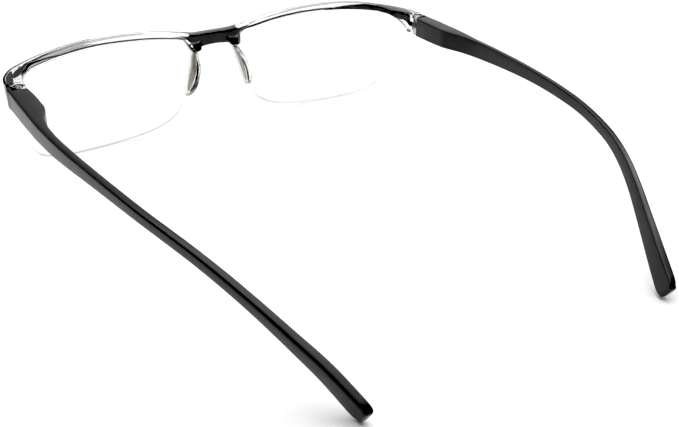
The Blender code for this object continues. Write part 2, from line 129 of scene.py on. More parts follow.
# Painted shade: dark lines in the back wall of the brow bars, for the shade of the lens groove and the black
# core reflected inside the bars
LEFT_PAINTED_SHADE_LINE = (
    (4.9, 0.86, 0.97, 0.22, 0.38),
    (7.0, 0.86, 0.97, 0.22, 0.39),
    (8.0, 0.86, 0.97, 0.21, 0.41),
    (9.0, 0.86, 0.97, 0.27, 0.48),
    (10.1, 0.86, 0.97, 0.29, 0.5),
    (10.8, 0.86, 0.97, 0.58, 0.76),
    (11.3, 0.84, 0.97, 0.68, 0.88),
    (11.9, 0.8, 0.97, 0.76, 0.97),
)
LEFT_LOWER_PAINTED_SHADE_LINE = (
    (10.2, 0.9, 0.97, 0.3, 0.36),
    (10.8, 0.88, 0.97, 0.3, 0.42),
    (12.0, 0.88, 0.97, 0.34, 0.46),
    (12.9, 0.88, 0.97, 0.36, 0.46),
)
RIGHT_PAINTED_SHADE_LINE = (
    (4.9, 0.86, 0.97, 0.14, 0.38),
    (5.6, 0.86, 0.97, 0.04, 0.38),
    (7.0, 0.86, 0.97, 0.18, 0.44),
    (8.0, 0.86, 0.97, 0.22, 0.44),
    (9.3, 0.86, 0.97, 0.16, 0.4),
)
# A dark violet-brown patch painted in the left corner where the black behind it shows through the clear
# plastic; its violet tint is painted reflection
LEFT_PAINTED_SHOW_THROUGH = (
    (13.5, 0.2, 0.34, 0.4, 0.95),
    (14.0, 0.17, 0.44, 0.2, 1.0),
    (14.7, 0.17, 0.5, 0.1, 1.0),
    (15.5, 0.17, 0.52, 0.15, 1.0),
    (16.2, 0.17, 0.52, 0.3, 1.0),
    (16.7, 0.22, 0.45, 0.45, 0.95),
)
# The black paint's block in the right corner, drawn larger than the left's to the shape it takes through the
# clear plastic in one view, so painted refraction is part of it
RIGHT_CORE_WITH_PAINTED_REFRACTION = (
    (9.0, 0.8, 0.95, 0.04, 0.14),
    (9.5, 0.75, 1.0, 0.03, 0.45),
    (10.0, 0.7, 1.0, 0.03, 0.68),
    (11.0, 0.6, 1.0, 0.03, 0.84),
    (11.5, 0.45, 1.0, 0.0, 0.94),
    (12.0, 0.15, 1.0, 0.0, 1.0),
    (13.0, 0.1, 1.0, 0.0, 1.0),
    (14.0, 0.2, 1.0, 0.04, 1.0),
    (15.0, 0.3, 1.0, 0.24, 1.0),
    (16.0, 0.4, 1.0, 0.42, 1.0),
    (16.6, 0.5, 0.98, 0.42, 0.97),
    (16.95, 0.6, 0.97, 0.3, 0.86),
)
CORE_SKIN = 0.07  # clear plastic over the colour
ARM_SKIN, ARM_FOOT = 1.25, 0.4  # clear plastic left beside the lens and under the arm
CORE_STEPS = 40

# Hinge
AXIS_X, AXIS_Y = 66.3, 16.9
KNUCKLE_R = 1.9
KNUCKLE_BOTTOM, KNUCKLE_TOP = 24.8, 30.9
KNUCKLE_ROOT_Y = 13.7
SLOT_BOTTOM, SLOT_TOP = 26.8, 28.8
SLOT_X, SLOT_ROOT_Y, SLOT_END_Y = (60.0, 74.0), 14.8, 24.0
TONGUE_R = 1.7
TONGUE_BOTTOM, TONGUE_TOP = 27.1, 28.5
TONGUE_ROOT_Y = 22.0
ARC_POINTS = 33  # round the end of a knuckle or tongue
CHEEK_X, BLOCK_Y = 68.5, 19.1
REBATE_X, REBATE_Y, REBATE_Z = 60.0, 10.0, (20.0, 36.0)  # limits of the cut that leaves only the cheek
PIN_HOLE_R = 0.85
HEAD_HOLE_R, HEAD_HOLE_DEPTH = 1.3, 1.0
INSERT_HOLE_R, INSERT_HOLE_BOTTOM = 1.35, 25.1
CUT_PAST = 1.0  # how far a cutter runs out of what it cuts

# Nasal arms and nose pads
ARM_SECTIONS = (
    (5.6, 8.1, -3.3, 0.6, 25.7),
    (5.2, 8.4, -3.5, 0.9, 26.1),
    (4.7, 8.8, -3.8, 0.3, 27.2),
    (4.1, 9.4, -4.0, -1.2, 28.8),
)
ARM_CORNER = 0.8
PAD_TOP_X, PAD_TOP_Z = 6.9, 25.4
PAD_SLOPE = 0.28
PAD_THICKNESS, PAD_EDGE = 1.9, 0.25  # between the faces, and from the middle plane to the edge of a face
PAD_MIDDLE = (0.4, 18.6)  # y, z
PAD_CROWN = 3.2  # power of the curve from the flat middle to the edge
PAD_SCALES = (0.12, 0.3, 0.46, 0.6, 0.72, 0.82, 0.9, 0.96, 0.99, 1.0)
PAD_POINTS = 96
PAD_OUTLINE = (
    (-3.1, 25.3), (-3.3, 22.0), (-3.3, 18.0), (-3.1, 15.0), (-2.7, 12.9), (-1.8, 11.8),
    (-0.5, 11.5), (0.9, 12.0), (2.3, 13.0), (3.5, 14.3), (4.5, 16.0), (5.0, 18.2),
    (5.0, 20.3), (4.3, 22.2), (3.0, 23.7), (1.6, 24.8), (0.7, 25.3),
)
TAB_THICKNESS, TAB_CORNER, TAB_STEPS = 0.6, 0.2, 40
TAB_OUTLINE = (
    (-0.3, 0.6, 13.4), (-0.8, 1.4, 14.0), (-1.1, 2.3, 15.5), (-1.2, 3.0, 17.5),
    (-1.3, 3.2, 19.5), (-1.6, 2.7, 21.5), (-2.0, 1.3, 23.6), (-2.2, 0.0, 25.0),
)  # front y, back y, z
TAB_GAP = 0.06  # tighter than the CAD's
TAB_ROOT = 0.05  # how far a tab runs into the arm above it

# Lenses. Outline of the wearer's left lens as x, z
LENS_OUTLINE = (
    (9.5, 28.4), (9.6, 26.0), (10.0, 23.5), (10.7, 20.0), (11.2, 16.0), (11.7, 12.5),
    (12.3, 9.6), (13.6, 7.1), (15.9, 5.1), (19.2, 3.3), (23.2, 2.0), (28.0, 1.0),
    (34.0, 0.35), (41.0, 0.005), (48.0, 0.2), (54.0, 0.9), (58.2, 2.1), (60.4, 3.6),
    (61.8, 6.0), (62.6, 9.2), (63.2, 14.0), (63.6, 20.0), (63.3, 25.0), (62.6, 28.2),
    (61.0, 30.1), (57.5, 31.1), (51.0, 32.3), (44.5, 33.0), (38.0, 33.2), (31.0, 33.0),
    (24.0, 32.3), (17.0, 31.2), (12.0, 30.2),
)
LENS_POINTS = 200
LENS_THICKNESS, LENS_CHAMFER = 1.6, 0.2
LENS_GROOVE_WIDTH, LENS_GROOVE_DEPTH = 0.7, 0.6
LENS_GAP = 0.3
LENS_SEATED = 0.1  # height over the underside of the bar from which a lens's edge is in its shade
LENS_SCALES = (0.06, 0.2, 0.34, 0.48, 0.6, 0.7, 0.79, 0.87, 0.94)
LENS_MIDDLE, LENS_REACH = (37.0, 16.0), (25.0, 16.0)
LENS_DISH = (-1.8, 1.66, 0.2, 1.04, 2.13, 0.57, -1.0)  # of 1, u, v, u v, u2, v2 and u2 v, see lens_y
LENS_GLANCE, LENS_GLOSS = 0.7, 0.012  # reflection gained at a glancing angle, and head on
LENS_GLANCE_POWER = 5.0

# Temples. Stations from the hinge to the tip: y, outer x, inner x, centre z, height
TEMPLE_STATIONS = (
    (14.9, 69.2, 64.3, 27.5, 6.2),
    (15.5, 69.4, 64.3, 27.5, 6.2),
    (19.5, 69.5, 64.3, 27.5, 6.2),
    (24.0, 69.6, 64.1, 27.5, 6.1),
    (30.0, 69.7, 64.1, 27.4, 5.9),
    (34.0, 69.7, 64.3, 27.4, 5.8),
    (37.0, 69.7, 65.2, 27.3, 5.7),
    (40.0, 69.7, 66.2, 27.2, 5.6),
    (44.0, 69.6, 66.9, 27.1, 5.4),
    (52.0, 69.3, 67.1, 27.1, 5.0),
    (62.0, 68.6, 66.5, 27.2, 4.4),
    (74.0, 67.3, 65.3, 27.2, 3.8),
    (86.0, 65.7, 63.7, 26.8, 3.4),
    (97.0, 63.8, 61.8, 26.0, 3.2),
    (106.0, 61.6, 59.6, 24.8, 3.2),
    (114.0, 59.2, 57.2, 23.1, 3.3),
    (121.0, 56.6, 54.5, 20.6, 3.5),
    (128.0, 53.5, 51.3, 17.1, 3.8),
    (135.0, 50.2, 47.8, 12.9, 4.3),
    (142.0, 46.9, 44.3, 8.5, 5.0),
    (150.2, 43.4, 40.8, 2.59, 6.0),
)
TEMPLE_STEPS = 300
EDGE_RADII = ((0.45, 0.3), (1.0, 0.42))  # of the inner and outer edges, with their limits in temple widths
TIP_ROUNDING, TIP_DRAFT = 0.85, 0.6  # length of the rounded end, and how far its section draws in
TIP_ANGLES = (20, 40, 60, 75, 90)
TIP_CUTS = ((0.6, 1.8), (0.8, 2.6))  # depth and length of the tip's rounded upper and lower corners
TIP_FULLNESS = 0.97  # share of a quarter ellipse that those corners follow before the rounded end
TIP_SKIN, TIP_SKIN_LENGTH = 0.08, 12.0  # how far the tip stays inside the CAD, and over what length


def at(x, y, z):
    """A point given in the design's millimetres, as metres in the frame."""
    return Vector((x * MM, (y - CENTRE_Y) * MM, z * MM))


def curve_through(table):
    """A smooth curve through a table, as a function of the fractional station number, and its knots."""
    rows = np.array(table, float)
    knots = np.zeros(len(rows))
    knots[1:] = np.cumsum(np.linalg.norm(np.diff(rows[:, :3], axis=0), axis=1))
    slopes = np.gradient(rows, knots, axis=0)

    def row(number):
        i = min(int(number), len(rows) - 2)
        u, span = number - i, knots[i + 1] - knots[i]
        return (
            (2 * u**3 - 3 * u**2 + 1) * rows[i]
            + (u**3 - 2 * u**2 + u) * span * slopes[i]
            + (3 * u**2 - 2 * u**3) * rows[i + 1]
            + (u**3 - u**2) * span * slopes[i + 1]
        )

    return row, knots


def interpolate(table, steps):
    """Rows spaced evenly along the smooth curve through a table's stations."""
    row, knots = curve_through(table)
    result = []
    for t in np.linspace(0.0, knots[-1], steps + 1):
        i = min(int(np.searchsorted(knots, t, side="right")) - 1, len(knots) - 2)
        result.append(row(i + (t - knots[i]) / (knots[i + 1] - knots[i])))
    return result


def closed_curve(points, count, per_span=16):
    """Evenly spaced points on a smooth closed curve through the given ones."""
    p = np.array(points, float)
    n = len(p)
    fine = []
    for i in range(n):
        a, b, c, d = p[i - 1], p[i], p[(i + 1) % n], p[(i + 2) % n]
        linear, square, cubic = c - a, 2 * a - 5 * b + 4 * c - d, 3 * b - a - 3 * c + d
        for u in np.linspace(0.0, 1.0, per_span, endpoint=False):
            fine.append(0.5 * (2 * b + linear * u + square * u**2 + cubic * u**3))
    fine = np.array(fine + [fine[0]])
    along = np.concatenate([[0.0], np.cumsum(np.linalg.norm(np.diff(fine, axis=0), axis=1))])
    marks = np.linspace(0.0, along[-1], count, endpoint=False)
    return np.column_stack([np.interp(marks, along, fine[:, k]) for k in range(2)])


def offset_curve(points, distance):
    """A closed curve moved outward by a distance along its own normals."""
    tangent = np.roll(points, -1, axis=0) - np.roll(points, 1, axis=0)
    normal = np.column_stack([-tangent[:, 1], tangent[:, 0]])
    normal /= np.linalg.norm(normal, axis=1, keepdims=True)
    middle = points.mean(axis=0)
    if ((points - middle) * normal).sum() < 0:
        normal = -normal
    return points + distance * normal


def smooth(mesh):
    """Smooth shading with its sharp edges kept."""
    mesh.shade_smooth()
    mesh.set_sharp_from_angle(angle=math.radians(SMOOTH_ANGLE))


def add_object(name, bm):
    """A mesh object from a bmesh, with outward normals and smooth faces."""
    bmesh.ops.recalc_face_normals(bm, faces=bm.faces)
    mesh = bpy.data.meshes.new(name)
    bm.to_mesh(mesh)
    bm.free()
    ob = bpy.data.objects.new(name, mesh)
    bpy.context.scene.collection.objects.link(ob)
    smooth(mesh)
    return ob


def loft(name, rings, parts=None):
    """A capped skin over rings of points. parts gives each gap between two rings a material number."""
    bm = bmesh.new()
    verts = [[bm.verts.new(p) for p in ring] for ring in rings]
    count = len(verts[0])
    for k, (a, b) in enumerate(zip(verts, verts[1:])):
        for i in range(count):
            j = (i + 1) % count
            face = bm.faces.new((a[i], a[j], b[j], b[i]))
            face.material_index = parts[k] if parts else 0
    bm.faces.new(verts[0])
    bm.faces.new(verts[-1])
    return add_object(name, bm)


def cylinder(name, x, y, radius, z0, z1, segments=64):
    """An upright cylinder for cutting, given in millimetres."""
    angles = np.linspace(0.0, 2 * math.pi, segments, endpoint=False)
    ring = [(x + radius * math.cos(a), y + radius * math.sin(a)) for a in angles]
    return loft(name, [[at(px, py, z) for px, py in ring] for z in (z0, z1)])


def block(name, xs, ys, zs):
    """A box for cutting, given by its limits in millimetres."""
    ring = [(xs[0], ys[0]), (xs[1], ys[0]), (xs[1], ys[1]), (xs[0], ys[1])]
    return loft(name, [[at(px, py, z) for px, py in ring] for z in zs])


def combine(ob, steps):
    """Runs exact Booleans in turn and keeps the result as the object's own mesh."""
    for operation, other in steps:
        modifier = ob.modifiers.new(other.name, "BOOLEAN")
        modifier.operation, modifier.solver, modifier.object = operation, "EXACT", other
    bake(ob)
    for _, other in steps:
        bpy.data.objects.remove(other, do_unlink=True)


def bake(ob):
    """Replaces the object's mesh by what its modifiers make of it."""
    bpy.context.view_layer.update()
    mesh = bpy.data.meshes.new_from_object(ob.evaluated_get(bpy.context.evaluated_depsgraph_get()))
    ob.modifiers.clear()
    ob.data = mesh
    smooth(mesh)


def rounded_section(outer, inner, top, bottom, corner, per_corner=6):
    """A rounded ring round an upright rectangle that stands on the line between two plan points."""
    outer, inner = Vector(outer), Vector(inner)
    width = (inner - outer).length
    r = min(corner, ROUND_MOST * width, ROUND_MOST * (top - bottom))
    across = (inner - outer) / width
    corners = ((r, bottom + r, 180), (width - r, bottom + r, 270), (width - r, top - r, 0), (r, top - r, 90))
    ring = []
    for cu, cv, start in corners:
        for k in range(per_corner):
            a = math.radians(start + 90 * k / (per_corner - 1))
            u, z = cu + r * math.cos(a), cv + r * math.sin(a)
            p = outer + across * u
            ring.append((p.x, p.y, z))
    return ring


def rounded_plan(x0, x1, y0, y1, r, per_corner=7):
    """A rounded rectangle seen from above."""
    corners = ((x1 - r, y1 - r, 0), (x0 + r, y1 - r, 90), (x0 + r, y0 + r, 180), (x1 - r, y0 + r, 270))
    ring = []
    for cx, cy, start in corners:
        for k in range(per_corner):
            a = math.radians(start + 90 * k / (per_corner - 1))
            ring.append((cx + r * math.cos(a), cy + r * math.sin(a)))
    return ring


def front_beam():
    """Left half of the bridge, brow bar and corner back to the hinge, from just past the middle."""
    rings = []
    for ox, oy, ix, iy, top, bottom in interpolate(FRONT_STATIONS, FRONT_STEPS):
        rings.append(rounded_section((ox, oy), (ix, iy), top, bottom, BAR_CORNER))
    past_middle = [(-x, y, z) for x, y, z in rings[1]]
    return loft("front_clear", [[at(*p) for p in ring] for ring in [past_middle, *rings]])


def knuckle_blank():
    """The end of the front that carries the two knuckles, before the slot and holes."""
    arc = [
        (AXIS_X + KNUCKLE_R * math.cos(a), AXIS_Y + KNUCKLE_R * math.sin(a))
        for a in np.linspace(0.0, math.pi, ARC_POINTS)
    ]
    plan = [(AXIS_X + KNUCKLE_R, KNUCKLE_ROOT_Y), *arc, (AXIS_X - KNUCKLE_R, KNUCKLE_ROOT_Y)]
    return loft("knuckle blank", [[at(x, y, z) for x, y in plan] for z in (KNUCKLE_BOTTOM, KNUCKLE_TOP)])


def nasal_arm(inset=0.0, lens_inset=0.0, foot=0.0):
    """The short flared arm from the bridge down to a nose pad, or its core set in from the skin."""
    rings = []
    for x0, x1, y0, y1, z in ARM_SECTIONS:
        low = foot if z == ARM_SECTIONS[0][-1] else 0.0
        plan = rounded_plan(x0 + inset, x1 - lens_inset, y0 + inset, y1 - inset, ARM_CORNER - inset)
        rings.append([at(x, y, z + low) for x, y in plan])
    return loft("nasal arm", rings)


def pad_x(z):
    """Distance of the nose pad's middle plane from the centre line at a height."""
    return PAD_TOP_X + PAD_SLOPE * (PAD_TOP_Z - z)


def sloped_tab(name, side, grow, top):
    """The flat leaf-shaped tab that a nose pad is stretched over, or with some growth the slot for it."""
    half = TAB_THICKNESS / 2 + grow
    rows = np.array([*TAB_OUTLINE, (*TAB_OUTLINE[-1][:2], top)])
    rows[0, 2] -= grow
    rings = []
    for z in np.linspace(rows[0, 2], top, TAB_STEPS):
        x = pad_x(z)
        front, back = [np.interp(z, rows[:, 2], rows[:, k]) for k in (0, 1)]
        plan = rounded_plan(x - half, x + half, front - grow, back + grow, TAB_CORNER, 4)
        rings.append([at(side * px, py, z) for px, py in plan])
    return loft(name, rings)


def lens_y(x, z):
    """Depth of a lens's middle surface: dished, wrapped round the face and set back low by the nose."""
    u = (abs(x) - LENS_MIDDLE[0]) / LENS_REACH[0]
    v = (z - LENS_MIDDLE[1]) / LENS_REACH[1]
    c = LENS_DISH
    return c[0] + c[1] * u + c[2] * v + c[3] * u * v + c[4] * u**2 + c[5] * v**2 + c[6] * u**2 * v


def lens_layers(side, grow=0.0, grooved=True):
    """Rings over a lens's front face, round its edge and over its back face, and the part each gap is of."""
    outline = closed_curve(LENS_OUTLINE, LENS_POINTS)
    edge = offset_curve(outline, grow)
    groove = offset_curve(outline, -LENS_GROOVE_DEPTH)
    middle = outline.mean(axis=0)
    half = LENS_THICKNESS / 2 + grow
    half_groove = LENS_GROOVE_WIDTH / 2
    rounded = offset_curve(edge, -LENS_CHAMFER)
    inner = [middle + (edge - middle) * scale for scale in LENS_SCALES]
    layers = [(ring, -half) for ring in inner] + [(rounded, -half), (edge, -half + LENS_CHAMFER)]
    if grooved:
        layers += [(edge, -half_groove), (groove, -half_groove), (groove, half_groove), (edge, half_groove)]
    layers += [(edge, half - LENS_CHAMFER), (rounded, half)] + [(ring, half) for ring in reversed(inner)]
    faces = len(inner)
    parts = [0] * faces + [1] * (len(layers) - 2 * faces - 1) + [0] * faces
    return [[at(side * x, lens_y(x, z) + dy, z) for x, z in ring] for ring, dy in layers], parts


def lens_seat():
    """What a lens, with room round it, takes out of the front."""
    rings, _ = lens_layers(1, LENS_GAP, grooved=False)
    return loft("lens seat", rings)


def mirror(ob):
    """Mirrors the wearer's left half of a piece on to the right."""
    modifier = ob.modifiers.new("mirror", "MIRROR")
    modifier.use_axis = (True, False, False)
    modifier.use_bisect_axis = (True, False, False)
    modifier.merge_threshold = MIRROR_MERGE
    bake(ob)


def make_front():
    """The clear body of the front."""
    front = front_beam()
    steps = [("UNION", knuckle_blank()), ("UNION", nasal_arm()), ("DIFFERENCE", lens_seat())]
    slot = block("tongue slot", SLOT_X, (SLOT_ROOT_Y, SLOT_END_Y), (SLOT_BOTTOM, SLOT_TOP))
    steps.append(("DIFFERENCE", slot))
    for label, radius, z0, z1 in (
        ("pin hole", PIN_HOLE_R, SLOT_TOP - 0.5 * CUT_PAST, KNUCKLE_TOP + CUT_PAST),
        ("head hole", HEAD_HOLE_R, KNUCKLE_TOP - HEAD_HOLE_DEPTH, KNUCKLE_TOP + 1.5 * CUT_PAST),
        ("insert hole", INSERT_HOLE_R, INSERT_HOLE_BOTTOM, SLOT_BOTTOM + 0.5 * CUT_PAST),
    ):
        steps.append(("DIFFERENCE", cylinder(label, AXIS_X, AXIS_Y, radius, z0, z1)))
    combine(front, steps)
    mirror(front)
    return front


def core_rings(side, table):
    """Rings of a stretch of colour, just under the front's skin."""
    row, _ = curve_through(FRONT_STATIONS)
    table = np.array(table)
    rings = []
    for number in np.linspace(table[0, 0], table[-1, 0], CORE_STEPS):
        front, back, low, high = [np.interp(number, table[:, 0], table[:, k]) for k in range(1, 5)]
        ox, oy, ix, iy, top, bottom = row(number)
        depth = math.hypot(ix - ox, iy - oy)
        front = max(front, CORE_SKIN / depth)
        back = min(back, 1.0 - CORE_SKIN / depth)
        outer = (ox + (ix - ox) * front, oy + (iy - oy) * front)
        inner = (ox + (ix - ox) * back, oy + (iy - oy) * back)
        z0 = bottom + max((top - bottom) * low, CORE_SKIN)
        z1 = bottom + min((top - bottom) * high, top - bottom - CORE_SKIN)
        ring = rounded_section(outer, inner, z1, z0, BAR_CORNER - CORE_SKIN)
        rings.append([at(side * x, y, z) for x, y, z in ring])
    return rings


def make_core_and_painted_light():
    """The black core: the bridge with the nasal arms, and stretches along both sides of the front, black
    paint at the corners drawn with painted refraction, and dark lines of painted shade along the brow bars.
    """
    left = core_rings(1, BRIDGE_CORE)
    past_middle = [Vector((-p.x, p.y, p.z)) for p in left[1]]
    core = loft("front_core_and_painted_light", [past_middle, *left])
    combine(core, [("UNION", nasal_arm(CORE_SKIN, ARM_SKIN, ARM_FOOT)), ("DIFFERENCE", lens_seat())])
    mirror(core)
    pieces = [core]
    left_tables = (LEFT_CORE_WITH_PAINTED_REFRACTION, LEFT_EDGING_WITH_PAINTED_REFRACTION, LEFT_PAINTED_SHADE_LINE, LEFT_LOWER_PAINTED_SHADE_LINE)
    for side, tables in ((1, left_tables), (-1, (RIGHT_PAINTED_SHADE_LINE, RIGHT_CORE_WITH_PAINTED_REFRACTION))):
        for table in tables:
            stretch = loft("front_stretch_black_and_painted_light", core_rings(side, table))
            seat = lens_seat()
            seat.scale.x = side
            combine(stretch, [("DIFFERENCE", seat)])
            pieces.append(stretch)
    return join("front_core_and_painted_light", pieces)


def make_painted_show_through():
    """The dark violet-brown patch painted in the wearer's left end of the front, where the black behind it
    shows through, with painted reflection.
    """
    return loft("front_painted_show_through", core_rings(1, LEFT_PAINTED_SHOW_THROUGH))


def join(name, pieces):
    """One object from several."""
    bm = bmesh.new()
    for piece in pieces:
        bm.from_mesh(piece.data)
        bpy.data.objects.remove(piece, do_unlink=True)
    return add_object(name, bm)


def make_lens(side, name):
    """A lens whose edge is darker along the top, where it sits in the front's groove."""
    rings, parts = lens_layers(side)
    lens = loft(name, rings, parts)
    stations = np.array(FRONT_STATIONS)
    for face in lens.data.polygons:
        x, z = abs(face.center.x) / MM, face.center.z / MM
        underside = np.interp(x, stations[:, 0], stations[:, 5])
        if face.material_index == 1 and z > underside + LENS_SEATED:
            face.material_index = 2
    return lens


def make_pad(side, name):
    """A soft pad: a D-shaped fin, thicker in the middle, with a slot from above for the frame's tab."""
    outline = closed_curve(PAD_OUTLINE, PAD_POINTS)
    middle = np.array(PAD_MIDDLE)
    crown = PAD_THICKNESS / 2 - PAD_EDGE
    stack = [(scale, PAD_EDGE + crown * math.sqrt(1.0 - scale**PAD_CROWN)) for scale in PAD_SCALES]
    stack = [(s, -d) for s, d in stack] + [(s, d) for s, d in reversed(stack)]
    lean = math.hypot(1.0, PAD_SLOPE)
    rings = []
    for scale, depth in stack:
        ring = []
        for y, z in middle + (outline - middle) * scale:
            x = pad_x(z) + depth / lean
            ring.append(at(side * x, y, z + depth * PAD_SLOPE / lean))
        rings.append(ring)
    pad = loft(name, rings)
    combine(pad, [("DIFFERENCE", sloped_tab("slot", side, TAB_GAP, ARM_SECTIONS[-1][-1]))])
    return pad


def temple_ring(side, y, xo, xi, zc, height, slope, shrink, per_corner=7):
    """One rounded section of a temple, with a larger radius along its outer edges."""
    length = math.hypot(1.0, slope)
    up_y, up_z = -slope / length, 1.0 / length
    width, h = xo - xi - 2 * shrink, height / 2 - shrink
    small, large = [min(radius, share * width) for radius, share in EDGE_RADII]
    x0 = xi + shrink
    ring = []
    for cx, cz, r, start in (
        (x0 + width - large, h - large, large, 0),
        (x0 + small, h - small, small, 90),
        (x0 + small, small - h, small, 180),
        (x0 + width - large, large - h, large, 270),
    ):
        for k in range(per_corner):
            a = math.radians(start + 90 * k / (per_corner - 1))
            x, v = cx + r * math.cos(a), cz + r * math.sin(a)
            ring.append(at(side * x, y + v * up_y, zc + v * up_z))
    return ring


def tip_cut(past, depth, length):
    """How much a rounded corner of the tip takes off at a distance before the end."""
    share = max(0.0, 1.0 - past / length)
    return depth * (1.0 - math.sqrt(1.0 - TIP_FULLNESS * share**2))


def temple_rings(side):
    """Rings of a temple from the hinge face to the rounded tip, square to its own line."""
    rows = np.array(interpolate(TEMPLE_STATIONS, TEMPLE_STEPS))
    slope = np.gradient(rows[:, 3]) / np.gradient(rows[:, 0])
    slope[0] = 0.0
    rings = []
    for (y, xo, xi, zc, height), dz in zip(rows, slope):
        shrink = TIP_SKIN * max(0.0, 1.0 - (rows[-1][0] - y) / TIP_SKIN_LENGTH)
        upper, lower = [tip_cut(rows[-1][0] - y, *cut) for cut in TIP_CUTS]
        zc, height = zc + (lower - upper) / 2, height - lower - upper
        rings.append(temple_ring(side, y, xo, xi, zc, height, dz, shrink))
    y, xo, xi = rows[-1][:3]
    for angle in TIP_ANGLES:
        s = TIP_ROUNDING * math.sin(math.radians(angle)) / math.hypot(1.0, slope[-1])
        shrink = TIP_SKIN + TIP_DRAFT * (1.0 - math.cos(math.radians(angle)))
        rings.append(temple_ring(side, y + s, xo, xi, zc + s * slope[-1], height, slope[-1], shrink))
    return rings


def make_temple(side, name):
    """One temple with the tongue that turns between the front's knuckles."""
    temple = loft(name, temple_rings(side))
    xs = sorted((side * REBATE_X, side * CHEEK_X))
    arc = [
        (AXIS_X + TONGUE_R * math.cos(a), AXIS_Y + TONGUE_R * math.sin(a))
        for a in np.linspace(-math.pi, 0.0, ARC_POINTS)
    ]
    plan = [*arc, (AXIS_X + TONGUE_R, TONGUE_ROOT_Y), (AXIS_X - TONGUE_R, TONGUE_ROOT_Y)]
    rings = [[at(side * x, y, z) for x, y in plan] for z in (TONGUE_BOTTOM, TONGUE_TOP)]
    hole_zs = (TONGUE_BOTTOM - CUT_PAST, TONGUE_TOP + CUT_PAST)
    hole = cylinder("hole", side * AXIS_X, AXIS_Y, PIN_HOLE_R, *hole_zs)
    combine(
        temple,
        [
            ("DIFFERENCE", block("rebate", xs, (REBATE_Y, BLOCK_Y), REBATE_Z)),
            ("UNION", loft("tongue", rings)),
            ("DIFFERENCE", hole),
        ],
    )
    return temple


class Shader:
    """A material under construction: nodes by short calls, with the Principled shader ready."""

    def __init__(self, name):
        self.material = bpy.data.materials.new(name)
        self.material.use_nodes = True
        self.nodes = self.material.node_tree.nodes
        self.links = self.material.node_tree.links
        self.main = self.nodes["Principled BSDF"]
        self.output = self.nodes["Material Output"]
        self.place = self.add("ShaderNodeTexCoord").outputs["Object"]

    def add(self, kind, **values):
        """A node with its settings."""
        node = self.nodes.new(kind)
        for key, value in values.items():
            setattr(node, key, value)
        return node

    def noise(self, scale, detail=3.0, stretch=None):
        """A noise pattern in the object's own metres."""
        node = self.add("ShaderNodeTexNoise")
        node.inputs["Scale"].default_value = scale
        node.inputs["Detail"].default_value = detail
        source = self.place
        if stretch:
            mapping = self.add("ShaderNodeMapping")
            mapping.inputs["Scale"].default_value = stretch
            self.links.new(source, mapping.inputs["Vector"])
            source = mapping.outputs[0]
        self.links.new(source, node.inputs["Vector"])
        return node.outputs["Fac"]

    def spread(self, value, low, high):
        """The middle of a pattern's range, spread between two numbers."""
        node = self.add("ShaderNodeMapRange")
        self.links.new(value, node.inputs["Value"])
        for key, number in (("From Min", 0.3), ("From Max", 0.7), ("To Min", low), ("To Max", high)):
            node.inputs[key].default_value = number
        return node.outputs["Result"]

    def tint(self, value, dark, light):
        """A pattern as a blend of two colours."""
        node = self.add("ShaderNodeMix", data_type="RGBA")
        self.links.new(self.spread(value, 0.0, 1.0), node.inputs["Factor"])
        node.inputs["A"].default_value = (*dark, 1.0)
        node.inputs["B"].default_value = (*light, 1.0)
        return node.outputs["Result"]

    def turned_away(self, power):
        """How far a surface turns away from the eye: 0 face on, 1 along its outline, raised to a power."""
        facing = self.add("ShaderNodeLayerWeight")
        facing.inputs["Blend"].default_value = 0.5
        raised = self.add("ShaderNodeMath", operation="POWER", use_clamp=True)
        raised.inputs[1].default_value = power
        self.links.new(facing.outputs["Facing"], raised.inputs[0])
        return raised.outputs[0]

    def painted_edge_shade(self, colour, edge_shade, power):
        """A colour painted dark where a clear surface turns away: painted shade standing in for the dark that
        light bending out of view gives at its outline.
        """
        node = self.add("ShaderNodeMix", data_type="RGBA")
        self.links.new(self.turned_away(power), node.inputs["Factor"])
        self.links.new(colour, node.inputs["A"])
        node.inputs["B"].default_value = (*edge_shade, 1.0)
        return node.outputs["Result"]

    def bump(self, value, height, shader=None):
        """Relief of a pattern on the surface, with its height in metres."""
        node = self.add("ShaderNodeBump")
        node.inputs["Distance"].default_value = height
        self.links.new(value, node.inputs["Height"])
        self.links.new(node.outputs[0], (shader or self.main).inputs["Normal"])

    def feed(self, **sockets):
        """Plain numbers and linked patterns for the Principled shader's sockets."""
        for key, value in sockets.items():
            socket = self.main.inputs[key.replace("_", " ")]
            if isinstance(value, bpy.types.NodeSocket):
                self.links.new(value, socket)
            else:
                socket.default_value = value

    def blend(self, amount, first, second):
        """The material's surface as one shader that turns into another with an amount."""
        mix = self.add("ShaderNodeMixShader")
        for source, socket in zip((amount, first.outputs[0], second.outputs[0]), mix.inputs):
            self.links.new(source, socket)
        self.links.new(mix.outputs[0], self.output.inputs["Surface"])

    def lets_lamps_through(self, colour):
        """Glass that rays from lamps pass straight through with a slight tint."""
        path = self.add("ShaderNodeLightPath")
        clear = self.add("ShaderNodeBsdfTransparent")
        clear.inputs["Color"].default_value = (*colour, 1.0)
        self.blend(path.outputs["Is Shadow Ray"], self.main, clear)


def clear_plastic():
    """Polished clear moulding with a trace of warm tint and slow waviness."""
    s = Shader("clear_plastic")
    body = s.tint(s.noise(180.0), (0.975, 0.968, 0.966), (0.992, 0.99, 0.988))
    s.feed(
        # Base colour painted dark towards the outlines as painted shade
        Base_Color=s.painted_edge_shade(body, (0.02, 0.018, 0.02), 2.2),
        Roughness=s.spread(s.noise(900.0), 0.012, 0.03),
        Transmission_Weight=1.0,
        IOR=1.49,
    )
    s.bump(s.noise(220.0, 1.0), 0.00003)
    s.lets_lamps_through((0.93, 0.925, 0.92))
    return s.material


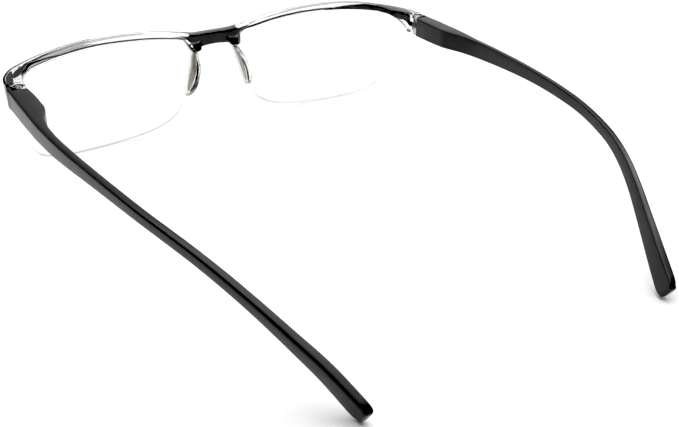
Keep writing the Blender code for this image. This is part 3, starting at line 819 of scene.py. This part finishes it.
def black_core_and_painted_light():
    """The black layer, whose gloss is that of the clear skin over it; also the colour of the lines of painted
    shade.
    """
    s = Shader("black_core_and_painted_light")
    s.feed(
        Base_Color=s.tint(s.noise(500.0), (0.002, 0.002, 0.003), (0.006, 0.0055, 0.007)),
        Roughness=s.spread(s.noise(1200.0), 0.3, 0.4),
        IOR=1.5,
        Specular_IOR_Level=0.0,
    )
    return s.material


def temple_black():
    """Satin black moulded plastic with a fine grain."""
    s = Shader("temple_black")
    s.feed(
        Base_Color=s.tint(s.noise(700.0, 4.0), (0.014, 0.0135, 0.015), (0.02, 0.019, 0.021)),
        Roughness=s.spread(s.noise(1800.0, 4.0), 0.28, 0.38),
        IOR=1.5,
        Specular_IOR_Level=0.37,
    )
    s.bump(s.noise(7000.0, 2.0), 0.000006)
    return s.material


def lens_face():
    """Coated lens face: seen straight through, with a faint reflection that grows at a glancing angle."""
    s = Shader("lens_face")
    s.nodes.remove(s.main)
    clear = s.add("ShaderNodeBsdfTransparent")
    s.links.new(s.tint(s.noise(60.0), (0.985, 0.988, 0.986), (0.995, 0.996, 0.995)), clear.inputs["Color"])
    gloss = s.add("ShaderNodeBsdfGlossy")
    s.links.new(s.spread(s.noise(500.0), 0.01, 0.03), gloss.inputs["Roughness"])
    s.bump(s.noise(60.0, 1.0), 0.00001, gloss)
    amount = s.add("ShaderNodeMath", operation="MULTIPLY_ADD")
    amount.inputs[1].default_value, amount.inputs[2].default_value = LENS_GLANCE, LENS_GLOSS
    s.links.new(s.turned_away(LENS_GLANCE_POWER), amount.inputs[0])
    s.blend(amount.outputs[0], clear, gloss)
    return s.material


def lens_edge_painted_grey():
    """The lens's polished edge and groove, painted grey and part opaque: painted shade for the dark that
    light bending through the edge gives.
    """
    s = Shader("lens_edge_painted_grey")
    s.feed(
        Base_Color=s.tint(s.noise(300.0), (0.22, 0.225, 0.225), (0.3, 0.305, 0.305)),
        Roughness=s.spread(s.noise(2500.0), 0.16, 0.3),
        Transmission_Weight=0.6,
        IOR=1.5,
    )
    s.bump(s.noise(4000.0, 2.0), 0.000008)
    s.lets_lamps_through((0.8, 0.8, 0.8))
    return s.material


def lens_seat_edge():
    """The lens's edge where it is shaded in the groove of the front."""
    s = Shader("lens_seat_edge")
    s.feed(
        Base_Color=s.tint(s.noise(300.0), (0.1, 0.1, 0.1), (0.16, 0.16, 0.16)),
        Roughness=s.spread(s.noise(2500.0), 0.2, 0.35),
        Specular_IOR_Level=0.1,
    )
    s.bump(s.noise(4000.0, 2.0), 0.000004)
    return s.material


def painted_show_through():
    """Dark violet-brown paint for where the black behind the clear plastic shows through; its violet tint is
    painted reflection.
    """
    s = Shader("painted_show_through")
    s.feed(
        Base_Color=s.tint(s.noise(420.0), (0.008, 0.006, 0.008), (0.03, 0.022, 0.028)),
        Roughness=s.spread(s.noise(1200.0), 0.2, 0.35),
        Specular_IOR_Level=0.15,
    )
    s.bump(s.noise(900.0), 0.00001)
    return s.material


def nylon_clear():
    """Clear nylon line."""
    s = Shader("nylon_clear")
    body = s.tint(s.noise(800.0), (0.9, 0.91, 0.91), (0.97, 0.975, 0.975))
    s.feed(
        # Base colour painted dark towards the outlines as painted shade
        Base_Color=s.painted_edge_shade(body, (0.1, 0.1, 0.1), 2.0),
        Roughness=s.spread(s.noise(2500.0), 0.1, 0.2),
        Transmission_Weight=1.0,
        IOR=1.53,
    )
    s.bump(s.noise(3000.0, 2.0), 0.000006)
    s.lets_lamps_through((0.85, 0.85, 0.85))
    return s.material


def silicone_clear():
    """Soft clear silicone, slightly hazy."""
    s = Shader("silicone_clear")
    body = s.tint(s.noise(400.0), (0.95, 0.945, 0.93), (0.985, 0.98, 0.97))
    s.feed(
        # Base colour painted dark towards the outlines as painted shade
        Base_Color=s.painted_edge_shade(body, (0.02, 0.018, 0.015), 1.7),
        Roughness=s.spread(s.noise(1500.0), 0.03, 0.08),
        Transmission_Weight=1.0,
        IOR=1.41,
    )
    s.bump(s.noise(900.0, 2.0), 0.00002)
    s.lets_lamps_through((0.88, 0.87, 0.86))
    return s.material


def tab_tint():
    """The olive tab of the front inside each nose pad."""
    s = Shader("pad_tab_olive")
    s.feed(
        Base_Color=s.tint(s.noise(500.0), (0.3, 0.27, 0.2), (0.42, 0.38, 0.3)),
        Roughness=s.spread(s.noise(1500.0), 0.2, 0.35),
        IOR=1.49,
    )
    s.bump(s.noise(1500.0), 0.00001)
    return s.material


def turned_metal(name, dark, light, low, high):
    """Turned metal: fine rings round the hinge axis."""
    s = Shader(name)
    s.feed(
        Base_Color=s.tint(s.noise(2500.0), dark, light),
        Roughness=s.spread(s.noise(4000.0, 2.0), low, high),
        Metallic=1.0,
    )
    s.bump(s.noise(1500.0, 2.0, (1.0, 1.0, 12.0)), 0.000008)
    return s.material


def floor_white():
    """Matt white table paper that thins out far from the glasses, so that no horizon shows in a low view."""
    s = Shader("floor_white")
    s.feed(
        Base_Color=s.tint(s.noise(40.0), (0.86, 0.858, 0.855), (0.88, 0.88, 0.88)),
        Roughness=0.9,
        Specular_IOR_Level=0.0,
    )
    away = s.add("ShaderNodeVectorMath", operation="LENGTH")
    s.links.new(s.place, away.inputs[0])
    fade = s.add("ShaderNodeMapRange", interpolation_type="SMOOTHSTEP")
    s.links.new(away.outputs["Value"], fade.inputs["Value"])
    for key, number in zip(("From Min", "From Max"), FLOOR_FADE):
        fade.inputs[key].default_value = number
    s.blend(fade.outputs["Result"], s.main, s.add("ShaderNodeBsdfTransparent"))
    return s.material


def dress(ob, material, *more):
    """Gives an object its materials in place of any it has."""
    ob.data.materials.clear()
    for m in (material, *more):
        ob.data.materials.append(m)
    return ob


def settle(ob, body, slot, *nodes):
    """Rides a finished piece on its body and stands for CAD nodes; the record slot is not used."""
    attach(ob, body)
    if nodes:
        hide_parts(*nodes)


def make_camera():
    """The photograph's camera."""
    az, el, roll = (math.radians(v) for v in (CAMERA_AZIMUTH, CAMERA_ELEVATION, CAMERA_ROLL))
    back = Vector((math.sin(az) * math.cos(el), -math.cos(az) * math.cos(el), math.sin(el)))
    right = (-back).cross(Vector((0.0, 0.0, 1.0))).normalized()
    up = right.cross(-back)
    level = Matrix((right, up, back)).transposed()
    turn = Matrix.Rotation(roll, 3, "Z")
    data = bpy.data.cameras.new("camera")
    data.lens, data.sensor_width = CAMERA_LENS, CAMERA_SENSOR
    data.shift_x, data.shift_y = CAMERA_SHIFT
    data.clip_start, data.clip_end = 0.005, 50.0
    camera = bpy.data.objects.new("camera", data)
    bpy.context.scene.collection.objects.link(camera)
    camera.matrix_world = Matrix.Translation(at(*CAMERA_PLACE)) @ (level @ turn).to_4x4()
    bpy.context.scene.camera = camera


def make_floor():
    """A white table under the glasses."""
    bm = bmesh.new()
    bmesh.ops.create_grid(bm, x_segments=8, y_segments=8, size=FLOOR_REACH)
    floor = add_object("floor", bm)
    dress(floor, floor_white())


def make_room():
    """A dim room that is bright overhead, and plain white where the camera looks past the table."""
    world = bpy.data.worlds.new("studio")
    bpy.context.scene.world = world
    world.use_nodes = True
    nodes, links = world.node_tree.nodes, world.node_tree.links
    room = nodes["Background"]
    direction = nodes.new("ShaderNodeTexCoord").outputs["Generated"]
    split = nodes.new("ShaderNodeSeparateXYZ")
    links.new(direction, split.inputs[0])
    heights = []
    for greys in (ROOM_SIDES, ROOM_FRONT):
        ramp = nodes.new("ShaderNodeValToRGB")
        stops = ramp.color_ramp.elements
        stops[0].position, stops[1].position = greys[0][0], greys[-1][0]
        stops[0].color, stops[1].color = [(g, g, g, 1.0) for g in (greys[0][1], greys[-1][1])]
        for place, grey in greys[1:-1]:
            stops.new(place).color = (grey, grey, grey, 1.0)
        links.new(split.outputs["Z"], ramp.inputs[0])
        heights.append(ramp.outputs[0])
    ahead = nodes.new("ShaderNodeMapRange")
    for key, number in zip(("From Min", "From Max"), ROOM_AHEAD):
        ahead.inputs[key].default_value = number
    links.new(split.outputs["Y"], ahead.inputs["Value"])
    blend = nodes.new("ShaderNodeMix")
    blend.data_type = "RGBA"
    links.new(ahead.outputs[0], blend.inputs["Factor"])
    links.new(heights[0], blend.inputs["A"])
    links.new(heights[1], blend.inputs["B"])
    links.new(blend.outputs["Result"], room.inputs["Color"])
    backdrop = nodes.new("ShaderNodeBackground")
    backdrop.inputs["Color"].default_value = (1.0, 1.0, 1.0, 1.0)
    mix = nodes.new("ShaderNodeMixShader")
    links.new(nodes.new("ShaderNodeLightPath").outputs["Is Camera Ray"], mix.inputs[0])
    links.new(room.outputs[0], mix.inputs[1])
    links.new(backdrop.outputs[0], mix.inputs[2])
    links.new(mix.outputs[0], nodes["World Output"].inputs["Surface"])


def make_lamps():
    """The soft boxes, each turned to the middle of the table."""
    for name, place, size, watts in SOFT_BOXES:
        data = bpy.data.lights.new(name, "AREA")
        data.shape, data.size, data.size_y, data.energy = "RECTANGLE", *size, watts
        lamp = bpy.data.objects.new(name, data)
        bpy.context.scene.collection.objects.link(lamp)
        lamp.location = place
        lamp.rotation_euler = (-Vector(place)).to_track_quat("-Z", "Y").to_euler()
        lamp.visible_camera = False


def grade_picture():
    """The scene values that print as black and as white."""
    view = bpy.context.scene.view_settings
    view.view_transform = "Standard"
    view.use_curve_mapping = True
    view.curve_mapping.black_level, view.curve_mapping.white_level = [(level,) * 3 for level in GRADE]
    view.curve_mapping.update()


make_camera()
make_floor()
make_room()
make_lamps()
grade_picture()

clear, core_black_and_painted_light, satin = clear_plastic(), black_core_and_painted_light(), temple_black()
silicone, nylon, olive = silicone_clear(), nylon_clear(), tab_tint()
steel = turned_metal("screw_steel", (0.5, 0.49, 0.48), (0.66, 0.65, 0.64), 0.22, 0.38)
nickel = turned_metal("insert_nickel", (0.5, 0.48, 0.44), (0.66, 0.64, 0.6), 0.25, 0.4)
face, edge, seat_edge, show_through_paint = lens_face(), lens_edge_painted_grey(), lens_seat_edge(), painted_show_through()

settle(dress(make_front(), clear), "front", "clear_plastic", "front_frame")
settle(dress(make_core_and_painted_light(), core_black_and_painted_light), "front", "temple_black", "front_frame")
settle(dress(make_painted_show_through(), show_through_paint), "front", "clear_plastic", "front_frame")
for side, word in ((1, "left"), (-1, "right")):
    lens = dress(make_lens(side, f"lens_{word}_clear"), face, edge, seat_edge)
    settle(lens, "front", "lens_clear", f"lens_{word}")
    pad = dress(make_pad(side, f"nose_pad_{word}_soft"), silicone)
    settle(pad, "front", "silicone_clear", f"nose_pad_{word}")
    tab = dress(sloped_tab(f"pad_tab_{word}", side, 0.0, ARM_SECTIONS[0][-1] + TAB_ROOT), olive)
    settle(tab, "front", "clear_plastic", "front_frame")
    temple = dress(make_temple(side, f"temple_{word}_arm"), satin)
    settle(temple, f"temple_{word}", "temple_black", f"temple_{word}")
    dress(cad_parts[f"lens_cord_{word}"], nylon)
    dress(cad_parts[f"hinge_screw_{word}"], steel)
    dress(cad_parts[f"hinge_insert_{word}"], nickel)
